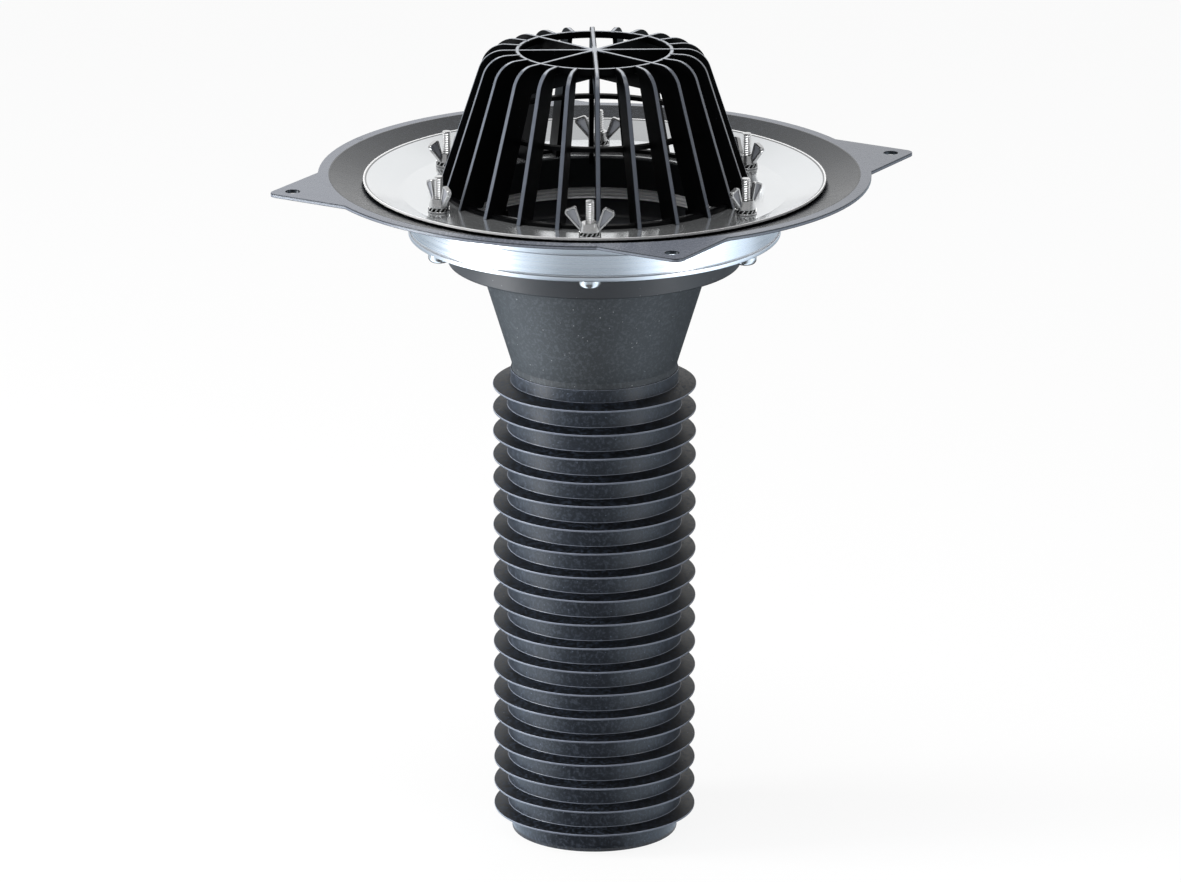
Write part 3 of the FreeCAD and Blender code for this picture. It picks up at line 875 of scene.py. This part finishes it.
class ROOFDRAIN_OT_dome(bpy.types.Operator):
    """Build the moulded dome with its blades, spokes, rings and tabs"""

    bl_idname = "roofdrain.dome"
    bl_label = "Dome Strainer"

    def execute(self, context):
        dome = settings("dome")
        plate_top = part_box("washer_1")[0].z
        dome_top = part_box("dome_strainer")[1].z
        mesh = bmesh.new()
        top_inner = dome.top_ring_radius - dome.top_ring_width
        blade_end = top_inner + dome.top_ring_width / 2
        blade = blade_outline(dome, plate_top, dome_top, blade_end, dome.top_ring_height)
        base_top = plate_top + dome.base_ring_height
        tab_top = base_top - HAIR
        tab_low = plate_top - dome.tab_depth
        tab_head = dome.tab_outer + (dome.tab_outer - dome.tab_inner)
        tab = [
            (dome.tab_inner, tab_low),
            (dome.tab_outer, tab_low),
            (dome.tab_outer, plate_top),
            (tab_head, plate_top),
            (tab_head, tab_top),
            (dome.tab_inner, tab_top),
        ]
        for number in range(dome.blades):
            turn = -math.pi / 2 + dome.turn + 2 * math.pi * number / dome.blades
            if number % dome.blades_per_spoke == 0:
                spoke_top = dome_top - number * HAIR
                spoke = blade_outline(dome, plate_top, spoke_top, 0.0, dome.web_depth)
                slab(mesh, spoke, dome.thickness, turn, dome.edge_round)
                slab(mesh, tab, dome.thickness, turn, dome.edge_round)
            else:
                slab(mesh, blade, dome.thickness, turn, dome.edge_round)
        hoop_low = plate_top + dome.hoop_level - dome.hoop_thickness / 2
        side_slope = dome.lean / (dome_top - plate_top)
        hoop_inner = dome.base_radius - dome.depth - side_slope * dome.hoop_level - dome.hoop_step
        base_outer = dome.base_radius - dome.base_ring_inset
        ring_top = dome_top - dome.blades * HAIR
        edge = dome.edge_round
        for inner, outer, low, high in (
            (top_inner, dome.top_ring_radius, dome_top - dome.top_ring_height, ring_top),
            (hoop_inner, hoop_inner + dome.hoop_width, hoop_low, hoop_low + dome.hoop_thickness),
            (base_outer - dome.base_ring_width, base_outer, plate_top, base_top),
        ):
            corners = ((inner, low), (outer, low), (outer, high), (inner, high))
            ring = [(*corner, edge) for corner in corners]
            turned(mesh, rounded(ring, 3), DOME_SEGMENTS)
        new_piece("dome_moulding", mesh, dome_material(), ROOT, "dome_strainer")
        return {"FINISHED"}


class ROOFDRAIN_OT_plate(bpy.types.Operator):
    """Finish the polished clamping plate"""

    bl_idname = "roofdrain.plate"
    bl_label = "Clamping Plate"

    def execute(self, context):
        edge = settings("metal").sheet_edge
        finish_cad("clamping_plate", plate_material(), edge, CRISP_BEND)
        return {"FINISHED"}


class ROOFDRAIN_OT_collar(bpy.types.Operator):
    """Finish the rubber collar with its rim and ears"""

    bl_idname = "roofdrain.collar"
    bl_label = "Rubber Collar"

    def execute(self, context):
        edge = settings("collar").edge_round
        finish_cad("collar", collar_material(), edge, CRISP_BEND)
        return {"FINISHED"}


class ROOFDRAIN_OT_ring(bpy.types.Operator):
    """Finish the turned clamping ring"""

    bl_idname = "roofdrain.ring"
    bl_label = "Clamping Ring"

    def execute(self, context):
        edge = settings("metal").ring_edge
        finish_cad("clamping_ring", ring_material(), edge)
        return {"FINISHED"}


class ROOFDRAIN_OT_funnel(bpy.types.Operator):
    """Build the funnel with its head, cone, neck and spigot"""

    bl_idname = "roofdrain.funnel"
    bl_label = "Funnel"

    def execute(self, context):
        funnel = settings("funnel")
        low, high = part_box("funnel")
        hose_top = low.z + funnel.spigot_length
        cone_low = hose_top + funnel.neck_height
        head_low = cone_low + funnel.cone_height
        floor = head_low + funnel.head_floor
        edge = funnel.edge_round
        inner_round = 2 * MM
        outline = [
            (funnel.spigot_bore, low.z),
            (funnel.spigot_radius, low.z),
            (funnel.spigot_radius, hose_top),
            (funnel.neck_radius, hose_top),
            (funnel.neck_radius, cone_low, edge),
            (funnel.cone_radius, head_low, 2 * edge),
            (funnel.head_radius, head_low, edge),
            (funnel.head_radius, high.z),
            (funnel.head_bore, high.z),
            (funnel.head_bore, floor, inner_round),
            (funnel.cone_radius, floor, 2 * inner_round),
            (funnel.cone_radius - funnel.cone_wall, head_low),
            (funnel.spigot_bore, cone_low),
        ]
        mesh = bmesh.new()
        turned(mesh, rounded(outline, 4), funnel.segments)
        new_piece("funnel_moulding", mesh, funnel_material(), ROOT, "funnel")
        return {"FINISHED"}


class ROOFDRAIN_OT_hose(bpy.types.Operator):
    """Build the hose with its soft, slightly uneven fins"""

    bl_idname = "roofdrain.hose"
    bl_label = "Finned Hose"

    def execute(self, context):
        hose = settings("hose")
        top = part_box("finned_hose")[1].z
        edge = hose.edge_round
        half = hose.fin_edge / 2
        outline = [
            (hose.bore, 0.0, edge),
            (hose.stub_radius, 0.0, edge),
            (hose.stub_radius, hose.first_fin - half - hose.fin_under_rise),
        ]
        for number in range(hose.fins):
            z = hose.first_fin + number * hose.fin_pitch
            outline += [
                (hose.core_radius, z - half - hose.fin_under_rise, edge if number else 0.0),
                (hose.fin_radius, z - half, edge),
                (hose.fin_radius, z + half, edge),
                (hose.core_radius, z + half + hose.fin_top_fall, 2 * edge),
            ]
        last = hose.first_fin + (hose.fins - 1) * hose.fin_pitch
        outline += [
            (hose.cuff_radius, last + half + hose.fin_top_fall, edge),
            (hose.cuff_radius, top, edge),
            (hose.bore, top, edge),
        ]

        def wave(r, z, turn):
            """Soft stray of a fin's outer part, none on the core."""
            out = max(0.0, (r - hose.core_radius) / (hose.fin_radius - hose.core_radius))
            fin = round((z - hose.first_fin) / hose.fin_pitch)
            across, along = WAVE_ROUND * math.cos(turn), WAVE_ROUND * math.sin(turn)
            return hose.wave * out * noise.noise(Vector((across, along, WAVE_STEP * fin)))

        mesh = bmesh.new()
        turned(mesh, rounded(outline, 2), hose.segments, wave)
        new_piece("hose_moulding", mesh, hose_material(), ROOT, "finned_hose")
        return {"FINISHED"}


def recessed_face(mesh, metal, radius, level):
    """Adds the lower face of a screw's head with its cross recess."""
    taper = 0.8

    def on_rim(vert):
        """Whether a vertex is on the face's outer circle."""
        return max(abs(vert.co.z - level), abs(vert.co.xy.length - radius)) < SAME_SPOT

    rim = sorted(filter(on_rim, mesh.verts), key=lambda vert: math.atan2(vert.co.y, vert.co.x))
    long, short = metal.recess_length / 2, metal.recess_width / 2
    arm = [(long, -short), (long, short), (short, short)]
    cross = []
    for quarter in range(4):
        turn = Matrix.Rotation(math.pi / 2 * quarter, 2)
        cross += [turn @ Vector(corner) for corner in arm]
    mouth = [mesh.verts.new((p.x, p.y, level)) for p in cross]
    depth = metal.recess_depth
    floor = [mesh.verts.new((taper * p.x, taper * p.y, level + depth)) for p in cross]
    loops = []
    for ring in (rim, mouth):
        for i, vert in enumerate(ring):
            pair = (vert, ring[(i + 1) % len(ring)])
            loops.append(mesh.edges.get(pair) or mesh.edges.new(pair))
    bmesh.ops.triangle_fill(mesh, use_beauty=True, edges=loops)
    for i in range(len(mouth)):
        j = (i + 1) % len(mouth)
        mesh.faces.new((mouth[i], mouth[j], floor[j], floor[i]))
    mesh.faces.new(floor)


def threaded_rod(mesh, metal, low, high):
    """Adds an upright screw thread on the Z axis, cut flat at both ends and closed."""
    sides = 36
    pitch = metal.thread_pitch
    # How far out the thread stands at each row of one pitch, from its root to its crest.
    shape = (0.0, 0.62, 1.0, 0.38)
    rows_a_pitch = len(shape)
    rod = bmesh.new()
    rows = int((high - low) / pitch + 3) * rows_a_pitch
    grid = []
    for row in range(rows):
        ring = []
        for side in range(sides + 1):
            z = low - pitch + (row / rows_a_pitch + side / sides) * pitch
            out = metal.shank_radius - metal.thread_depth * (1 - shape[row % rows_a_pitch])
            out = min(out, metal.shank_radius + max(0.0, high - z) - metal.thread_depth)
            turn = 2 * math.pi * side / sides
            ring.append(rod.verts.new((out * math.cos(turn), out * math.sin(turn), z)))
        grid.append(ring)
    for row in range(rows - 1):
        for side in range(sides):
            a, b = grid[row], grid[row + 1]
            rod.faces.new((a[side], a[side + 1], b[side + 1], b[side]))
    bmesh.ops.remove_doubles(rod, verts=rod.verts, dist=0.0001 * MM)
    for z, up in ((low, -1), (high, 1)):
        everything = rod.verts[:] + rod.edges[:] + rod.faces[:]
        cut = bmesh.ops.bisect_plane(
            rod, geom=everything, plane_co=(0, 0, z), plane_no=(0, 0, up), clear_outer=True
        )
        rim = [e for e in cut["geom_cut"] if isinstance(e, bmesh.types.BMEdge)]
        bmesh.ops.contextual_create(rod, geom=rim)
    add_part(mesh, rod)


class ROOFDRAIN_OT_bolts(bpy.types.Operator):
    """Build the pan head screws with their threads"""

    bl_idname = "roofdrain.bolts"
    bl_label = "Screws"

    def execute(self, context):
        metal = settings("metal")
        material = fastener_material()
        for number in range(1, BOLTS + 1):
            node = "bolt_%d" % number
            low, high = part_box(node)
            centre = (low + high) / 2
            head_top = low.z + metal.head_height
            thread_low = head_top + 1 * MM
            neck_top = head_top + 2 * MM
            mesh = bmesh.new()
            core = metal.shank_radius - metal.thread_depth
            face = metal.head_radius - metal.head_round
            head = [
                (face, low.z),
                (metal.head_radius, low.z, metal.head_round),
                (metal.head_radius, head_top, 0.3 * MM),
                (core, head_top),
                (core, neck_top),
                (0.02 * MM, neck_top),
            ]
            turned(mesh, rounded(head, 6), SCREW_SEGMENTS, closed=False)
            recessed_face(mesh, metal, face, low.z)
            bmesh.ops.holes_fill(mesh, edges=mesh.edges, sides=0)
            threaded_rod(mesh, metal, thread_low, high.z)
            bmesh.ops.translate(mesh, verts=mesh.verts, vec=(centre.x, centre.y, 0))
            new_piece("screw_%d" % number, mesh, material, ROOT, node)
        return {"FINISHED"}


class ROOFDRAIN_OT_washers(bpy.types.Operator):
    """Finish the plain and the toothed washers"""

    bl_idname = "roofdrain.washers"
    bl_label = "Washers"

    def execute(self, context):
        edge = settings("metal").washer_edge
        material = fastener_material()
        for number in range(1, BOLTS + 1):
            finish_cad("washer_%d" % number, material, edge)
            finish_cad("lock_washer_%d" % number, material, edge / 3)
        return {"FINISHED"}


class ROOFDRAIN_OT_wing_nuts(bpy.types.Operator):
    """Finish the wing nuts with soft cast edges"""

    bl_idname = "roofdrain.wing_nuts"
    bl_label = "Wing Nuts"

    def execute(self, context):
        edge = settings("metal").nut_edge
        for number, turn in enumerate(NUT_TURNS, 1):
            low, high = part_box("bolt_%d" % number)
            centre = (low + high) / 2
            material = fastener_material("nut_steel_%d" % number, centre, math.radians(turn))
            finish_cad("wing_nut_%d" % number, material, edge)
        return {"FINISHED"}


def aim(target, at):
    """Turns a camera or a lamp to look at a point."""
    target.rotation_euler = (Vector(at) - target.location).to_track_quat("-Z", "Y").to_euler()


class ROOFDRAIN_OT_stage(bpy.types.Operator):
    """Set up the floor, the soft light and the camera"""

    bl_idname = "roofdrain.stage"
    bl_label = "Stage"

    def execute(self, context):
        studio = settings("studio")
        context.scene.view_settings.view_transform = "Standard"
        self.add_floor(studio)
        self.add_world(studio)
        self.add_lamps()
        self.add_card()
        self.add_camera(studio)
        return {"FINISHED"}

    def add_floor(self, studio):
        """A white floor that keeps a faint shadow."""
        size = studio.floor_size
        data = bpy.data.meshes.new("floor")
        corners = [(-size, -size, 0), (size, -size, 0), (size, size, 0), (-size, size, 0)]
        data.from_pydata(corners, [], [(0, 1, 2, 3)])
        shader = Shader("floor_white")
        shader.set(Base_Color=(0.9, 0.9, 0.9), Roughness=0.9)
        white = shader.node("ShaderNodeEmission", {}, {"Color": WHITE, "Strength": 1.0})
        lit = Value(shader, shader.principled.outputs[0])
        rays = shader.ray("Is Camera Ray") + shader.ray("Is Glossy Ray")
        seen = (rays + shader.ray("Is Transmission Ray")).clamped() * 0.9
        mixed = shader.node("ShaderNodeMixShader", {}, {0: seen, 1: lit, 2: white})
        shader.connect(shader.output.inputs["Surface"], mixed)
        data.materials.append(shader.material)
        add_object("floor", data)

    def add_world(self, studio):
        """Light from all round: white where it is seen, dim in front for reflections."""
        world = bpy.data.worlds.new("studio")
        world.use_nodes = True
        bpy.context.scene.world = world
        sky = Nodes(world.node_tree)
        back = sky.axis("Y", "Generated").above(0.10, 0.45)
        low = 1.0 - sky.axis("Z", "Generated").above(0.725, 0.225)
        gloss = back.at_most(low) * (1.0 - studio.front_gloss) + studio.front_gloss
        light = (gloss - studio.ambient) * sky.ray("Is Glossy Ray") + studio.ambient
        seen = sky.ray("Is Camera Ray").at_least(sky.ray("Is Transmission Ray"))
        background = world.node_tree.nodes["Background"]
        sky.connect(background.inputs["Strength"], (1.0 - light) * seen + light)
        sky.connect(background.inputs["Color"], WHITE)

    def add_lamps(self):
        """Soft boxes at the sides and overhead."""
        for name, place, width, height, watts, glossy in LAMPS:
            lamp = bpy.data.lights.new(name, "AREA")
            lamp.shape = "RECTANGLE"
            lamp.size = width
            lamp.size_y = height
            lamp.energy = watts
            stand = add_object(name, lamp)
            stand.location = place
            stand.visible_glossy = glossy
            aim(stand, LAMP_AIM)

    def add_card(self):
        """A card on the floor that only reflections see."""
        data = bpy.data.meshes.new("floor_card")
        mesh = bmesh.new()
        bmesh.ops.create_circle(mesh, cap_ends=True, segments=64, radius=CARD_RADIUS)
        bmesh.ops.translate(mesh, verts=mesh.verts, vec=(0, 0, CARD_HEIGHT))
        mesh.to_mesh(data)
        mesh.free()
        shader = Shader("card_light")
        east, north = shader.axis("X"), shader.axis("Y")
        reach = shader.radius().at_least(1 * MM)
        far = reach.above(CARD_NEAR, 0.2)
        light = far * 0.62 + 0.04
        for azimuth, spread, near_strength, far_strength in CARD_LOBES:
            toward = math.radians(azimuth)
            facing = (east * math.sin(toward) - north * math.cos(toward)) / reach
            edge = (1 + math.cos(math.radians(spread))) / 2
            strength = far * (far_strength - near_strength) + near_strength
            light = facing.above(edge, 1 - edge) * strength + light
        inputs = {"Color": (0.74, 0.87, 1.0), "Strength": light}
        glow = shader.node("ShaderNodeEmission", {}, inputs)
        shader.connect(shader.output.inputs["Surface"], glow)
        data.materials.append(shader.material)
        card = add_object("floor_card", data)
        for rays in ("camera", "diffuse", "shadow", "transmission"):
            setattr(card, "visible_" + rays, False)

    def add_camera(self, studio):
        """The camera of the photograph: far off, looking down a little."""
        data = bpy.data.cameras.new("camera")
        data.sensor_width = 36.0
        data.lens = data.sensor_width * studio.focal_pixels / studio.picture_width
        data.clip_end = 500.0
        camera = add_object("camera", data)
        away = Vector((math.sin(studio.azimuth), -math.cos(studio.azimuth), 0.0))
        right = Vector((math.cos(studio.azimuth), math.sin(studio.azimuth), 0.0))
        at = Vector((0, 0, studio.aim_height)) - right * studio.aim_left
        rise = Vector((0, 0, math.sin(studio.pitch)))
        camera.location = at + (away * math.cos(studio.pitch) + rise) * studio.distance
        aim(camera, at)
        bpy.context.scene.camera = camera


class ROOFDRAIN_PT_panel(bpy.types.Panel):
    """Buttons that build and finish the roof drain"""

    bl_idname = "ROOFDRAIN_PT_panel"
    bl_label = "Roof Drain"
    bl_space_type = "VIEW_3D"
    bl_region_type = "UI"
    bl_category = "Roof Drain"

    def draw(self, context):
        for operator in OPERATORS:
            self.layout.operator(operator.bl_idname)


OPERATORS = (
    ROOFDRAIN_OT_dome,
    ROOFDRAIN_OT_plate,
    ROOFDRAIN_OT_collar,
    ROOFDRAIN_OT_ring,
    ROOFDRAIN_OT_funnel,
    ROOFDRAIN_OT_hose,
    ROOFDRAIN_OT_bolts,
    ROOFDRAIN_OT_washers,
    ROOFDRAIN_OT_wing_nuts,
    ROOFDRAIN_OT_stage,
)
SETTINGS = {
    "dome": DomeSettings,
    "hose": HoseSettings,
    "funnel": FunnelSettings,
    "metal": MetalSettings,
    "collar": CollarSettings,
    "studio": StudioSettings,
}


def register():
    """Registers the settings, the operators and the panel."""
    for kind, group in SETTINGS.items():
        bpy.utils.register_class(group)
        setattr(bpy.types.Scene, "roof_drain_" + kind, bpy.props.PointerProperty(type=group))
    for operator in OPERATORS:
        bpy.utils.register_class(operator)
    bpy.utils.register_class(ROOFDRAIN_PT_panel)


def unregister():
    """Takes everything out again."""
    bpy.utils.unregister_class(ROOFDRAIN_PT_panel)
    for operator in reversed(OPERATORS):
        bpy.utils.unregister_class(operator)
    for kind, group in SETTINGS.items():
        delattr(bpy.types.Scene, "roof_drain_" + kind)
        bpy.utils.unregister_class(group)


def main():
    """Builds the whole drain."""
    register()
    for operator in OPERATORS:
        group, name = operator.bl_idname.split(".")
        getattr(getattr(bpy.ops, group), name)()


if __name__ == "__main__":
    main()
